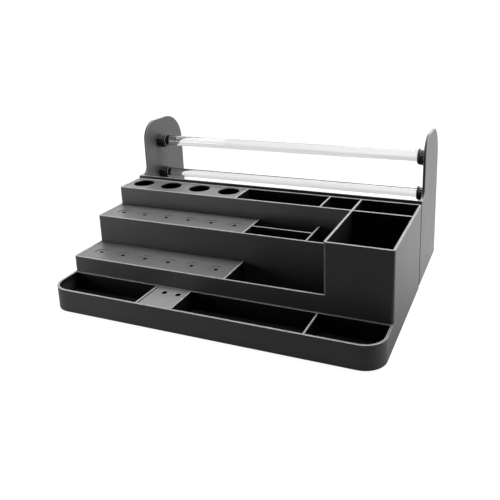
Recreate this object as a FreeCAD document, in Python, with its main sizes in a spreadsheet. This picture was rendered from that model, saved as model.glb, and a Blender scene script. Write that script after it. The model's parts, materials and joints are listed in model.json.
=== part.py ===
import FreeCAD, Part
import Sketcher
import math
import os

# Hobby workstation organizer, in millimetres.
# A stepped moulding holds bins and tool racks, and a frame behind it carries two clear rods for
# spools of wire. The solids are drawn with the front face at Y = 0 and the underside of the
# moulding at Z = 0, and each one's Placement moves it to the row's origin, which is the centre of
# the whole object on the bench.

Vector = FreeCAD.Vector
Rotation = FreeCAD.Rotation
UP = Vector(0, 0, 1)

doc = FreeCAD.newDocument("organizer")
sheet = doc.addObject("Spreadsheet::Sheet", "Sizes")

SIZES = [
    ("body_width", 360.0, "width of the moulded body and of the frame behind it"),
    ("tray_run", 44.0, "front to back, from the front face to the first step"),
    ("lower_run", 47.6, "front to back, lower rack step"),
    ("upper_run", 45.4, "front to back, upper rack step"),
    ("row_run", 41.7, "front to back, rear row of bins"),
    ("tray_height", 25.0, "rim of the front tray"),
    ("lower_height", 43.3, "rim of the lower rack step"),
    ("upper_height", 75.4, "rim of the upper rack step"),
    ("row_height", 97.2, "rim of the rear row and of the tall bay"),
    ("bay_width", 66.7, "tall bay at the right end"),
    ("wall", 2.4, "outer walls and step walls"),
    ("divider", 2.0, "walls between bins"),
    ("tray_rim", 2.0, "rear rim of the front tray, against the first step"),
    ("skirt", 3.0, "height of the hollow under the floor"),
    ("floor_web", 2.2, "floor of the bins"),
    ("corner_round", 22.0, "front corners of the tray, seen from above"),
    ("edge_round", 3.0, "upright edges of the steps"),
    ("narrow_width", 33.8, "narrow bins beside the tall bay"),
    ("cross_depth", 21.0, "front to back, front bin beside the upper rack"),
    ("tray_left_width", 106.2, "left bin of the front tray"),
    ("tray_right_width", 68.6, "right bin of the front tray"),
    ("tray_plate_length", 36.5, "two-hole plate in the front tray"),
    ("tray_plate_slit", 1.4, "finger slit at the left end of the two-hole plate"),
    ("plate_thick", 2.4, "rack plates and two-hole plate"),
    ("plate_sink", 0.4, "rim above the plates"),
    ("plate_clear", 0.3, "round each plate in its recess"),
    ("ledge", 1.8, "ledge that a plate rests on"),
    ("hole_margin", 21.8, "left side to the first rack hole"),
    ("hole_pitch", 29.3, "between rack holes"),
    ("hole_end_margin", 17.8, "last rack hole to the wall at the racks' right end"),
    ("hole_setback", 20.8, "front face of a rack step to its row of holes"),
    ("hole_radius", 2.0, "rack holes"),
    ("dish_radius", 8.0, "shallow dish round a rack hole"),
    ("dish_depth", 0.6, "shallow dish round a rack hole"),
    ("boss_width", 10.0, "square guide boss under a rack hole"),
    ("boss_length", 9.0, "square guide boss under a rack hole"),
    ("stiffener", 1.6, "rib that joins the guide bosses"),
    ("stiffener_height", 5.0, "rib that joins the guide bosses"),
    ("stiffener_inset", 5.0, "rib's ends from the ledge"),
    ("rear_hole_margin", 19.9, "left side to the first hole of the rear rack"),
    ("rear_hole_pitch", 39.4, "between the rear rack's holes"),
    ("rear_hole_end_margin", 17.6, "last rear hole to the wall at the rear rack's right end"),
    ("rear_hole_setback", 24.0, "front face of the rear row to the rear rack's holes"),
    ("rear_hole_radius", 12.8, "rear rack's large holes for handles and bottles"),
    ("tray_hole_radius", 3.0, "holes of the two-hole plate"),
    ("tray_hole_pitch", 16.1, "between the holes of the two-hole plate"),
    ("tray_hole_margin", 7.5, "two-hole plate's right end to its nearer hole"),
    ("tray_hole_inset", 10.2, "two-hole plate's rear edge to its holes"),
    ("rib", 1.8, "ribs under the floor"),
    ("foot_width", 14.0, "rubber feet, square in plan"),
    ("foot_clear", 0.2, "round a rubber foot in its seat"),
    ("foot_seat", 1.6, "depth of a foot's seat"),
    ("foot_proud", 1.0, "foot below the moulding"),
    ("foot_wall", 2.2, "wall round a foot's seat"),
    ("foot_side", 30.0, "side face to a foot's centre"),
    ("foot_front", 24.0, "front face to the front feet's centres"),
    ("foot_rear", 22.0, "rear face to the rear feet's centres"),
    ("seam_gap", 0.6, "seam between the body and the rear frame"),
    ("frame_wall", 2.4, "panel and floor of the rear frame"),
    ("frame_rise", 3.0, "panel rim above the body's rim"),
    ("frame_lift", 2.0, "underside of the frame above that of the body"),
    ("frame_depth", 105.7, "front to back, rear frame"),
    ("arm_thick", 3.0, "side arms of the frame"),
    ("arm_setback", 17.0, "front edge of an arm behind the panel's face"),
    ("arm_top", 165.6, "top of the side arms"),
    ("arm_front_round", 24.0, "front top corner of an arm"),
    ("arm_rear_round", 38.0, "rear top corner of an arm"),
    ("arm_foot_round", 8.0, "hollow where an arm meets the panel's rim"),
    ("frame_corner_round", 3.0, "inner corners between panel, floor and arms"),
    ("lip_height", 10.0, "upturned rear edge of the frame's floor"),
    ("upper_rod_radius", 6.6, "upper clear rod"),
    ("lower_rod_radius", 5.5, "lower clear rod"),
    ("rod_setback", 34.7, "rods behind the arms' front edge"),
    ("upper_rod_drop", 29.0, "axis of the upper rod below the top of the arms"),
    ("rod_spacing", 43.3, "between the axes of the two rods"),
    ("running_gap", 0.05, "round a rod in its bushes"),
    ("side_gap", 0.3, "between parts that slide or turn past each other"),
    ("bush_wall", 1.1, "sleeve of a bush round its rod"),
    ("bush_end", 1.2, "closed end of a bush"),
    ("bush_flange_rim", 1.3, "flange of a bush beyond its sleeve"),
    ("bush_flange_thick", 1.8, "flange of a bush"),
    ("cup_wall", 1.9, "wall of a rod cup"),
    ("cup_end", 1.6, "end plate of a rod cup"),
    ("cup_depth", 9.0, "rod cup from the arm's face to its mouth"),
    ("cup_rise", 4.0, "rim of a rod cup above the rod's axis"),
    ("spigot_width", 6.0, "square spigot that keeps a cup upright on its arm"),
    ("spigot_length", 1.2, "square spigot that keeps a cup upright on its arm"),
    ("spigot_clear", 0.05, "round and behind a spigot in its socket"),
    ("screw_radius", 1.75, "screws that hold the frame to the body"),
    ("screw_clear", 0.1, "round a screw in the two walls"),
    ("screw_side", 14.0, "side face to the screws"),
    ("screw_low", 22.0, "lower screws above the underside"),
    ("screw_drop", 16.0, "upper screws below the rim of the rear row"),
    ("screw_length", 13.0, "under the head"),
    ("head_radius", 3.8, "screw heads"),
    ("head_height", 2.2, "screw heads"),
    ("screw_boss_width", 9.2, "square bosses behind the panel for the screws"),
    ("screw_boss_length", 10.0, "square bosses behind the panel for the screws"),
    ("overrun", 5.0, "how far a cut runs past the face that it opens"),
]
RACK_HOLES = 6
REAR_HOLES = 4

for row, (alias, number, meaning) in enumerate(SIZES, start=1):
    sheet.set(f"A{row}", meaning)
    sheet.set(f"B{row}", str(number))
    sheet.setAlias(f"B{row}", alias)
doc.recompute()


class Length:
    """A size: its value in millimetres, and the formula that binds it to the sheet."""

    def __init__(self, text, value):
        self.text = text
        self.value = value

    def __add__(self, other):
        return Length(f"({self.text} + {other.text})", self.value + other.value)

    def __sub__(self, other):
        return Length(f"({self.text} - {other.text})", self.value - other.value)

    def __neg__(self):
        return Length(f"(-{self.text})", -self.value)

    def __mul__(self, factor):
        return Length(f"({self.text} * {factor})", self.value * factor)

    def __truediv__(self, factor):
        return Length(f"({self.text} / {factor})", self.value / factor)


S = {alias: Length(f"Sizes.{alias}", number) for alias, number, meaning in SIZES}
ZERO = S["wall"] - S["wall"]

# Left and right, in plan
half_width = S["body_width"] / 2
left_inside = -half_width + S["wall"]
right_inside = half_width - S["wall"]
first_hole = -half_width + S["hole_margin"]
last_hole = first_hole + S["hole_pitch"] * (RACK_HOLES - 1)
rack_end = last_hole + S["hole_end_margin"]
rack_bin = rack_end + S["divider"]
bay_face = half_width - S["bay_width"]
bay_inside = bay_face + S["wall"]
narrow_left = bay_face - S["narrow_width"]
wide_right = narrow_left - S["divider"]
first_rear_hole = -half_width + S["rear_hole_margin"]
last_rear_hole = first_rear_hole + S["rear_hole_pitch"] * (REAR_HOLES - 1)
rear_rack_end = last_rear_hole + S["rear_hole_end_margin"]
row_middle = rear_rack_end + S["divider"]
tray_left_end = left_inside + S["tray_left_width"]
tray_plate_left = tray_left_end + S["divider"]
tray_plate_right = (
    tray_plate_left + S["tray_plate_slit"] + S["tray_plate_length"] + S["plate_clear"]
)
tray_middle = tray_plate_right + S["divider"]
tray_right = right_inside - S["tray_right_width"]
tray_middle_end = tray_right - S["divider"]

# Front to back
tray_back = S["tray_run"] - S["tray_rim"]
lower_front = S["tray_run"]
upper_front = lower_front + S["lower_run"]
row_front = upper_front + S["upper_run"]
body_depth = row_front + S["row_run"]
row_inside = body_depth - S["wall"]
cross_front = upper_front + S["wall"] + S["cross_depth"]
frame_front = body_depth + S["seam_gap"]
panel_back = frame_front + S["frame_wall"]
arm_front = frame_front + S["arm_setback"]
frame_back = frame_front + S["frame_depth"]
rod_y = arm_front + S["rod_setback"]

# Heights
floor_top = S["skirt"] + S["floor_web"]
panel_top = S["row_height"] + S["frame_rise"]
upper_rod_height = S["arm_top"] - S["upper_rod_drop"]
lower_rod_height = upper_rod_height - S["rod_spacing"]

# Along a rod, outwards from the middle of the object
arm_face = half_width - S["arm_thick"]
cup_mouth = arm_face - S["cup_depth"]
cup_bottom = arm_face - S["cup_end"]
sleeve_outer = cup_bottom - S["side_gap"]
sleeve_inner = cup_mouth - S["side_gap"]
flange_inner = sleeve_inner - S["bush_flange_thick"]
bore_end = sleeve_outer - S["bush_end"]
rod_end = bore_end - S["side_gap"]

# Outwards from the axis of each rod
RODS = {"upper": upper_rod_height, "lower": lower_rod_height}
ROD_RADII = {"upper": S["upper_rod_radius"], "lower": S["lower_rod_radius"]}
BORE_RADII = {rod: radius + S["running_gap"] for rod, radius in ROD_RADII.items()}
SLEEVE_RADII = {rod: radius + S["bush_wall"] for rod, radius in BORE_RADII.items()}
FLANGE_RADII = {rod: radius + S["bush_flange_rim"] for rod, radius in SLEEVE_RADII.items()}
SLOT_RADII = {rod: radius + S["side_gap"] for rod, radius in SLEEVE_RADII.items()}
CUP_RADII = {rod: radius + S["cup_wall"] for rod, radius in SLOT_RADII.items()}

NEAR = 0.001


def origin_plane(body, role):
    for item in body.Origin.OriginFeatures:
        if item.Role == role:
            return item


def new_body(name):
    """A sub-part, placed so that the drawn coordinates land in the row's frame."""
    body = doc.addObject("PartDesign::Body", name)
    body.Label = name
    settle(body)
    return body


def settle(item, x=ZERO, y=ZERO, z=ZERO):
    """Put an object at a drawn place, seen from the centre of the whole on the bench."""
    middle = frame_back / 2
    for axis, size in (("x", x), ("y", y - middle), ("z", z + S["foot_proud"])):
        item.setExpression(f"Placement.Base.{axis}", size.text)


def new_sketch(body, name, plane="XY_Plane", offset=ZERO):
    sketch = body.newObject("Sketcher::SketchObject", name)
    sketch.AttachmentSupport = (origin_plane(body, plane), [""])
    sketch.MapMode = "FlatFace"
    sketch.AttachmentOffset = FreeCAD.Placement(Vector(0, 0, offset.value), Rotation())
    sketch.setExpression("AttachmentOffset.Base.z", offset.text)
    return sketch


def hold(sketch, kind, places, size):
    """Add a dimension that follows the sheet."""
    number = sketch.addConstraint(Sketcher.Constraint(kind, *places, size.value))
    sketch.setExpression(f"Constraints[{number}]", size.text)


def hold_point(sketch, edge, end, x, y):
    hold(sketch, "DistanceX", (-1, 1, edge, end), x)
    hold(sketch, "DistanceY", (-1, 1, edge, end), y)


def draw_polygon(sketch, points):
    """A closed outline of straight edges through points given as pairs of sizes."""
    first = sketch.GeometryCount
    places = [Vector(x.value, y.value, 0) for x, y in points]
    count = len(points)
    for index, place in enumerate(places):
        sketch.addGeometry(Part.LineSegment(place, places[(index + 1) % count]), False)
    for index, (x, y) in enumerate(points):
        following = first + (index + 1) % count
        sketch.addConstraint(Sketcher.Constraint("Coincident", first + index, 2, following, 1))
        hold_point(sketch, first + index, 1, x, y)


def draw_box(sketch, low_x, high_x, low_y, high_y):
    draw_polygon(sketch, [(low_x, low_y), (high_x, low_y), (high_x, high_y), (low_x, high_y)])


def draw_square(sketch, x, y, width):
    half = width / 2
    draw_box(sketch, x - half, x + half, y - half, y + half)


def draw_circle(sketch, x, y, radius):
    number = sketch.addGeometry(Part.Circle(Vector(x.value, y.value, 0), UP, radius.value), False)
    hold_point(sketch, number, 3, x, y)
    hold(sketch, "Radius", (number,), radius)


def draw_rounded_box(sketch, low_x, high_x, low_y, high_y, radii):
    """A box; its corners, from the low one anticlockwise, have the given radii or are square."""
    signs = [(1, 1), (-1, 1), (-1, -1), (1, -1)]
    corners = [(low_x, low_y), (high_x, low_y), (high_x, high_y), (low_x, high_y)]
    quarter = math.pi / 2
    starts = []
    ends = []
    for index, ((x, y), (sign_x, sign_y), radius) in enumerate(zip(corners, signs, radii)):
        if radius is None:
            starts.append(Vector(x.value, y.value, 0))
            ends.append(starts[-1])
            continue
        centre_x = x + radius * sign_x
        centre_y = y + radius * sign_y
        circle = Part.Circle(Vector(centre_x.value, centre_y.value, 0), UP, radius.value)
        turn = math.pi + index * quarter
        arc = Part.ArcOfCircle(circle, turn, turn + quarter)
        number = sketch.addGeometry(arc, False)
        hold_point(sketch, number, 3, centre_x, centre_y)
        hold(sketch, "Radius", (number,), radius)
        starts.append(arc.StartPoint)
        ends.append(arc.EndPoint)
    first_line = sketch.GeometryCount
    count = len(corners)
    for index, place in enumerate(ends):
        sketch.addGeometry(Part.LineSegment(place, starts[(index + 1) % count]), False)
    arc_number = first_line - sum(radius is not None for radius in radii)
    for index, radius in enumerate(radii):
        arriving = first_line + (index - 1) % count
        leaving = first_line + index
        if radius is None:
            sketch.addConstraint(Sketcher.Constraint("Coincident", arriving, 2, leaving, 1))
            hold_point(sketch, leaving, 1, *corners[index])
            continue
        sketch.addConstraint(Sketcher.Constraint("Tangent", arriving, 2, arc_number, 1))
        sketch.addConstraint(Sketcher.Constraint("Tangent", arc_number, 2, leaving, 1))
        arc_number += 1


def extrude(body, kind, name, sketch, length, reverse=False):
    """A pad, or a pocket, of a sketch; a reversed pocket cuts upwards from its sketch."""
    feature = body.newObject(kind, name)
    feature.Profile = sketch
    feature.Length = length.value
    feature.setExpression("Length", length.text)
    feature.Reversed = reverse
    sketch.Visibility = False
    body.Tip = feature
    doc.recompute()
    return feature


def pad(body, name, sketch, length, reverse=False):
    return extrude(body, "PartDesign::Pad", name, sketch, length, reverse)


def pocket(body, name, sketch, length, reverse=False):
    """A pocket that has to take something away."""
    before = body.Shape.Volume
    feature = extrude(body, "PartDesign::Pocket", name, sketch, length, reverse)
    if before - body.Shape.Volume < NEAR:
        raise RuntimeError(f"{body.Label}: {name} cuts nothing")
    return feature


def round_edges(body, name, radius, chosen):
    """Round the edges of the body's last feature that the test picks."""
    base = body.Tip
    names = [f"Edge{i}" for i, edge in enumerate(base.Shape.Edges, start=1) if chosen(edge)]
    feature = body.newObject("PartDesign::Fillet", name)
    feature.Base = (base, names)
    feature.Radius = radius.value
    feature.setExpression("Radius", radius.text)
    body.Tip = feature
    doc.recompute()
    return feature


def is_upright(edge):
    box = edge.BoundBox
    return box.XLength < NEAR and box.YLength < NEAR


def is_at(edge, x=None, y=None, z=None):
    """True where the whole edge has the given coordinates."""
    box = edge.BoundBox
    spans = [(x, box.XMin, box.XMax), (y, box.YMin, box.YMax), (z, box.ZMin, box.ZMax)]
    for size, low, high in spans:
        if size is not None and max(abs(low - size.value), abs(high - size.value)) > NEAR:
            return False
    return True


def upright_at(places):
    return lambda edge: is_upright(edge) and any(is_at(edge, x, y) for x, y in places)


# The moulded body: a low tray in front, two rack steps, a rear row and a tall bay

SQUARE = (None,) * 4
TRAY_INNER_ROUND = S["corner_round"] - S["wall"]


def draw_tray_outline(sketch, inset):
    """The body in plan, drawn in by an inset: broad front corners and small rear ones."""
    front_round = S["corner_round"] - inset
    rear_round = S["edge_round"]
    radii = [front_round, front_round, rear_round, rear_round]
    low_x = -half_width + inset
    high_x = half_width - inset
    draw_rounded_box(sketch, low_x, high_x, inset, body_depth - inset, radii)


def add_steps(body):
    outline = new_sketch(body, "tray_outline")
    draw_tray_outline(outline, ZERO)
    pad(body, "tray_block", outline, S["tray_height"])
    steps = [
        ("lower_step", -half_width, lower_front, S["lower_height"]),
        ("upper_step", -half_width, upper_front, S["upper_height"]),
        ("row_step", -half_width, row_front, S["row_height"]),
        ("bay_step", bay_face, lower_front, S["row_height"]),
    ]
    for name, left, front, height in steps:
        sketch = new_sketch(body, f"{name}_plan")
        draw_rounded_box(sketch, left, half_width, front, body_depth, [S["edge_round"]] * 4)
        pad(body, name, sketch, height)


def add_wells(body):
    """The open bins, cut upwards from their floor through the rim; their corners are sharp."""
    tray_left_radii = (TRAY_INNER_ROUND, None, None, None)
    tray_right_radii = (None, TRAY_INNER_ROUND, None, None)
    lower_inside = lower_front + S["wall"]
    upper_inside = upper_front + S["wall"]
    row_wall = row_front + S["wall"]
    wells = [
        ("tray_left", left_inside, tray_left_end, S["wall"], tray_back, tray_left_radii),
        ("tray_middle", tray_middle, tray_middle_end, S["wall"], tray_back, SQUARE),
        ("tray_right", tray_right, right_inside, S["wall"], tray_back, tray_right_radii),
        ("lower_bin", rack_bin, bay_face, lower_inside, upper_front, SQUARE),
        ("upper_front_bin", rack_bin, wide_right, upper_inside, cross_front, SQUARE),
        ("upper_rear_bin", rack_bin, wide_right, cross_front + S["divider"], row_front, SQUARE),
        ("upper_narrow_bin", narrow_left, bay_face, upper_inside, row_front, SQUARE),
        ("row_middle", row_middle, wide_right, row_wall, row_inside, SQUARE),
        ("row_right", narrow_left, bay_face, row_wall, row_inside, SQUARE),
        ("bay_front", bay_inside, right_inside, lower_inside, row_front, SQUARE),
        ("bay_rear", bay_inside, right_inside, row_wall, row_inside, SQUARE),
    ]
    for name, low_x, high_x, low_y, high_y, radii in wells:
        sketch = new_sketch(body, f"{name}_plan", offset=floor_top)
        draw_rounded_box(sketch, low_x, high_x, low_y, high_y, radii)
        pocket(body, name, sketch, S["row_height"], reverse=True)


# The rack steps, and each plate's recess: low and high X, low and high Y, and the rim round it
RACK_STEPS = {"lower_rack_plate": lower_front, "upper_rack_plate": upper_front}
RECESSES = {
    "lower_rack_plate": (left_inside, rack_end, lower_front + S["wall"], upper_front, "lower_height"),
    "upper_rack_plate": (left_inside, rack_end, upper_front + S["wall"], row_front, "upper_height"),
    "rear_rack_plate": (left_inside, rear_rack_end, row_front + S["wall"], row_inside, "row_height"),
    "tray_plate": (tray_plate_left, tray_plate_right, S["wall"], tray_back, "tray_height"),
}


def plate_top(name):
    return S[RECESSES[name][4]] - S["plate_sink"]


def add_recesses(body):
    """Under each plate a hollow, and above it a ledge all round for the plate to rest on.
    The rear rack has no ledge at its back, where the frame's screws come through the wall."""
    for name, (low_x, high_x, low_y, high_y, rim) in RECESSES.items():
        hollow = new_sketch(body, f"{name}_hollow_plan", offset=floor_top)
        step = S["ledge"]
        back_step = ZERO if name == "rear_rack_plate" else step
        draw_box(hollow, low_x + step, high_x - step, low_y + step, high_y - back_step)
        seat_height = plate_top(name) - S["plate_thick"]
        pocket(body, f"{name}_hollow", hollow, S[rim] - floor_top, reverse=True)
        seat = new_sketch(body, f"{name}_seat_plan", offset=seat_height)
        draw_box(seat, low_x, high_x, low_y, high_y)
        pocket(body, f"{name}_seat", seat, S[rim] - seat_height, reverse=True)


FOOT_PLACES = [
    (-half_width + S["foot_side"], S["foot_front"]),
    (half_width - S["foot_side"], S["foot_front"]),
    (-half_width + S["foot_side"], body_depth - S["foot_rear"]),
    (half_width - S["foot_side"], body_depth - S["foot_rear"]),
]
FRAME_FOOT_PLACES = [
    (-half_width + S["foot_side"], frame_back - S["foot_rear"]),
    (half_width - S["foot_side"], frame_back - S["foot_rear"]),
]


def add_underside(body):
    """A hollow underside with ribs below the bin walls and seats for the feet."""
    hollow = new_sketch(body, "hollow_plan")
    draw_tray_outline(hollow, S["wall"])
    pocket(body, "hollow", hollow, S["skirt"], reverse=True)
    half_rib = S["rib"] / 2
    long_ribs = new_sketch(body, "long_ribs_plan")
    for middle in (lower_front + half_rib, upper_front + half_rib, row_front + half_rib):
        draw_box(long_ribs, left_inside, right_inside, middle - half_rib, middle + half_rib)
    pad(body, "long_ribs", long_ribs, S["skirt"])
    cross_ribs = new_sketch(body, "cross_ribs_plan")
    for middle in (tray_left_end, rear_rack_end, rack_end, wide_right, bay_face):
        draw_box(cross_ribs, middle, middle + S["rib"], S["wall"], row_inside)
    pad(body, "cross_ribs", cross_ribs, S["skirt"])
    seat_width = S["foot_width"] + S["foot_clear"] * 2
    blocks = new_sketch(body, "foot_blocks_plan")
    seats = new_sketch(body, "foot_seats_plan")
    for x, y in FOOT_PLACES:
        draw_square(blocks, x, y, seat_width + S["foot_wall"] * 2)
        draw_square(seats, x, y, seat_width)
    pad(body, "foot_blocks", blocks, S["skirt"])
    pocket(body, "foot_seats", seats, S["foot_seat"], reverse=True)


SCREW_PLACES = [
    (side, height)
    for side in (-half_width + S["screw_side"], half_width - S["screw_side"])
    for height in (S["screw_low"], S["row_height"] - S["screw_drop"])
]


def add_screw_holes(body, depth_start, length):
    """Holes along Y; a sketch in the XZ plane faces forwards, so its offset counts backwards."""
    sketch = new_sketch(body, "screw_holes_face", plane="XZ_Plane", offset=-depth_start)
    for x, z in SCREW_PLACES:
        draw_circle(sketch, x, z, S["screw_radius"] + S["screw_clear"])
    pocket(body, "screw_holes", sketch, length, reverse=False)


def make_main_body():
    body = new_body("main_body")
    add_steps(body)
    add_wells(body)
    add_recesses(body)
    add_underside(body)
    add_screw_holes(body, row_inside - S["overrun"], S["wall"] + S["overrun"] * 2)


# The plates that lie in the recesses


def plate_box(name):
    """The plate's edges in plan: its recess less the clearance, and less the finger slit."""
    low_x, high_x, low_y, high_y, rim = RECESSES[name]
    clear = S["plate_clear"]
    if name == "tray_plate":
        low_x = high_x - clear - S["tray_plate_length"] - clear
    return low_x + clear, high_x - clear, low_y + clear, high_y - clear


def make_plate(name):
    """A flat plate, its top just below the rim round it."""
    body = new_body(name)
    underside = plate_top(name) - S["plate_thick"]
    sketch = new_sketch(body, "plate_plan", offset=underside)
    draw_box(sketch, *plate_box(name))
    pad(body, "plate", sketch, S["plate_thick"])
    return body, underside


def rack_holes(name):
    row = RACK_STEPS[name] + S["hole_setback"]
    return [(first_hole + S["hole_pitch"] * index, row) for index in range(RACK_HOLES)]


def draw_holes(body, name, places, radius, offset):
    sketch = new_sketch(body, name, offset=offset)
    for x, y in places:
        draw_circle(sketch, x, y, radius)
    return sketch


def make_rack_plate(name):
    """Six tool holes, each in a shallow dish and carried down by a guide boss."""
    body, underside = make_plate(name)
    places = rack_holes(name)
    bosses = new_sketch(body, "bosses_plan", offset=underside)
    for x, y in places:
        draw_square(bosses, x, y, S["boss_width"])
    pad(body, "bosses", bosses, S["boss_length"], reverse=True)
    low_x, high_x = plate_box(name)[:2]
    inset = S["ledge"] + S["stiffener_inset"]
    near = RACK_STEPS[name] + S["hole_setback"] - S["stiffener"] / 2
    rib = new_sketch(body, "rib_plan", offset=underside)
    draw_box(rib, low_x + inset, high_x - inset, near, near + S["stiffener"])
    pad(body, "rib", rib, S["stiffener_height"], reverse=True)
    dishes = draw_holes(body, "dishes_plan", places, S["dish_radius"], plate_top(name))
    pocket(body, "dishes", dishes, S["dish_depth"])
    holes = draw_holes(body, "holes_plan", places, S["hole_radius"], plate_top(name))
    pocket(body, "holes", holes, S["plate_thick"] + S["boss_length"] + S["overrun"])


def tray_holes():
    edges = plate_box("tray_plate")
    nearer = edges[1] - S["tray_hole_margin"]
    row = edges[3] - S["tray_hole_inset"]
    return [(nearer - S["tray_hole_pitch"], row), (nearer, row)]


def rear_holes():
    row = row_front + S["rear_hole_setback"]
    return [(first_rear_hole + S["rear_hole_pitch"] * index, row) for index in range(REAR_HOLES)]


def make_holed_plate(name, places, radius):
    """A plain plate with round holes right through it."""
    body = make_plate(name)[0]
    holes = draw_holes(body, "holes_plan", places, radius, plate_top(name))
    pocket(body, "holes", holes, S["plate_thick"] + S["overrun"])


# The rear frame: a panel behind the body, a floor, and two tall side arms with rounded tops


def draw_arm(sketch):
    bottom = S["frame_lift"]
    points = [
        (frame_front, bottom),
        (frame_back, bottom),
        (frame_back, S["arm_top"]),
        (arm_front, S["arm_top"]),
        (arm_front, panel_top),
        (frame_front, panel_top),
    ]
    draw_polygon(sketch, points)


def make_rear_frame():
    body = new_body("rear_frame")
    body.AllowCompound = True
    for side, offset in (("right", arm_face), ("left", -half_width)):
        sketch = new_sketch(body, f"{side}_arm_side", plane="YZ_Plane", offset=offset)
        draw_arm(sketch)
        pad(body, f"{side}_arm", sketch, S["arm_thick"])
    round_edges(body, "arm_fronts", S["arm_front_round"], along_x(arm_front, S["arm_top"]))
    round_edges(body, "arm_rears", S["arm_rear_round"], along_x(frame_back, S["arm_top"]))
    round_edges(body, "arm_feet", S["arm_foot_round"], along_x(arm_front, panel_top))
    lip_front = frame_back - S["frame_wall"]
    walls = [
        ("panel", frame_front, panel_back, panel_top - S["frame_lift"]),
        ("floor", frame_front, frame_back, S["frame_wall"]),
        ("lip", lip_front, frame_back, S["lip_height"]),
    ]
    for name, front, back, height in walls:
        sketch = new_sketch(body, f"{name}_plan", offset=S["frame_lift"])
        draw_box(sketch, -arm_face, arm_face, front, back)
        pad(body, name, sketch, height)
    corners = [(-arm_face, panel_back), (arm_face, panel_back)]
    round_edges(body, "panel_corners", S["frame_corner_round"], upright_at(corners))
    add_screw_bosses(body)
    add_cup_sockets(body)


def along_x(y, z):
    """Picks the edges that run from side to side at a place in the side view."""
    return lambda edge: is_at(edge, y=y, z=z)


def add_screw_bosses(body):
    face = new_sketch(body, "screw_bosses_face", plane="XZ_Plane", offset=-frame_front)
    for x, z in SCREW_PLACES:
        draw_square(face, x, z, S["screw_boss_width"])
    pad(body, "screw_bosses", face, S["frame_wall"] + S["screw_boss_length"], reverse=True)
    length = S["frame_wall"] + S["screw_boss_length"] + S["overrun"] * 2
    add_screw_holes(body, frame_front - S["overrun"], length)


def add_cup_sockets(body):
    """Square blind sockets in the arms' inner faces, where the rod cups are seated."""
    depth = S["spigot_length"] + S["spigot_clear"]
    width = S["spigot_width"] + S["spigot_clear"] * 2
    for side, offset, reverse in (("right", arm_face, True), ("left", -arm_face, False)):
        sketch = new_sketch(body, f"{side}_sockets_side", plane="YZ_Plane", offset=offset)
        for height in (upper_rod_height, lower_rod_height):
            draw_square(sketch, rod_y, height, width)
        pocket(body, f"{side}_sockets", sketch, depth, reverse)


# The rods, with a bush on each end that drops into an open cup on the arm

SIDES = {"left": -1, "right": 1}


def draw_cup(sketch, height, radius, rim):
    """An open-topped cup seen along the rod: a half-round bottom and straight sides to the rim."""
    low_y = rod_y - radius
    high_y = rod_y + radius
    circle = Part.Circle(Vector(rod_y.value, height.value, 0), UP, radius.value)
    arc = Part.ArcOfCircle(circle, math.pi, math.tau)
    high_corner = Vector(high_y.value, rim.value, 0)
    low_corner = Vector(low_y.value, rim.value, 0)
    bottom = sketch.addGeometry(arc, False)
    rear = sketch.addGeometry(Part.LineSegment(arc.EndPoint, high_corner), False)
    top = sketch.addGeometry(Part.LineSegment(high_corner, low_corner), False)
    front = sketch.addGeometry(Part.LineSegment(low_corner, arc.StartPoint), False)
    hold_point(sketch, bottom, 3, rod_y, height)
    hold(sketch, "Radius", (bottom,), radius)
    sketch.addConstraint(Sketcher.Constraint("Tangent", bottom, 2, rear, 1))
    sketch.addConstraint(Sketcher.Constraint("Coincident", rear, 2, top, 1))
    sketch.addConstraint(Sketcher.Constraint("Coincident", top, 2, front, 1))
    sketch.addConstraint(Sketcher.Constraint("Tangent", front, 2, bottom, 1))
    hold_point(sketch, top, 1, high_y, rim)
    hold_point(sketch, front, 1, low_y, rim)


def make_cup(rod, side):
    """A cup with an end plate against the arm and a square spigot that seats in the arm."""
    body = new_body(f"{rod}_{side}_cup")
    height = RODS[rod]
    sign = SIDES[side]
    outwards = sign > 0
    rim = height + S["cup_rise"]
    outline = new_sketch(body, "cup_side", plane="YZ_Plane", offset=cup_mouth * sign)
    draw_cup(outline, height, CUP_RADII[rod], rim)
    pad(body, "cup", outline, S["cup_depth"], reverse=not outwards)
    slot = new_sketch(body, "slot_side", plane="YZ_Plane", offset=cup_bottom * sign)
    draw_cup(slot, height, SLOT_RADII[rod], rim + S["overrun"])
    pocket(body, "slot", slot, S["cup_depth"] - S["cup_end"] + S["overrun"], reverse=not outwards)
    spigot = new_sketch(body, "spigot_side", plane="YZ_Plane", offset=arm_face * sign)
    draw_square(spigot, rod_y, height, S["spigot_width"])
    pad(body, "spigot", spigot, S["spigot_length"], reverse=not outwards)


def make_bush(rod, side):
    """A closed sleeve over the rod's end, with a flange just inside the cup's mouth."""
    body = new_body(f"{rod}_{side}_bush")
    height = RODS[rod]
    sign = SIDES[side]
    outwards = sign > 0
    flange = new_sketch(body, "flange_side", plane="YZ_Plane", offset=flange_inner * sign)
    draw_circle(flange, rod_y, height, FLANGE_RADII[rod])
    pad(body, "flange", flange, S["bush_flange_thick"], reverse=not outwards)
    sleeve = new_sketch(body, "sleeve_side", plane="YZ_Plane", offset=flange_inner * sign)
    draw_circle(sleeve, rod_y, height, SLEEVE_RADII[rod])
    pad(body, "sleeve", sleeve, sleeve_outer - flange_inner, reverse=not outwards)
    bore = new_sketch(body, "bore_side", plane="YZ_Plane", offset=bore_end * sign)
    draw_circle(bore, rod_y, height, BORE_RADII[rod])
    pocket(body, "bore", bore, bore_end - flange_inner + S["overrun"], reverse=not outwards)


def make_rod(rod):
    body = new_body(f"{rod}_rod")
    section = new_sketch(body, "rod_section", plane="YZ_Plane", offset=-rod_end)
    draw_circle(section, rod_y, RODS[rod], ROD_RADII[rod])
    pad(body, "rod", section, rod_end * 2)


# Rubber feet and the screws that hold the frame to the body


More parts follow.
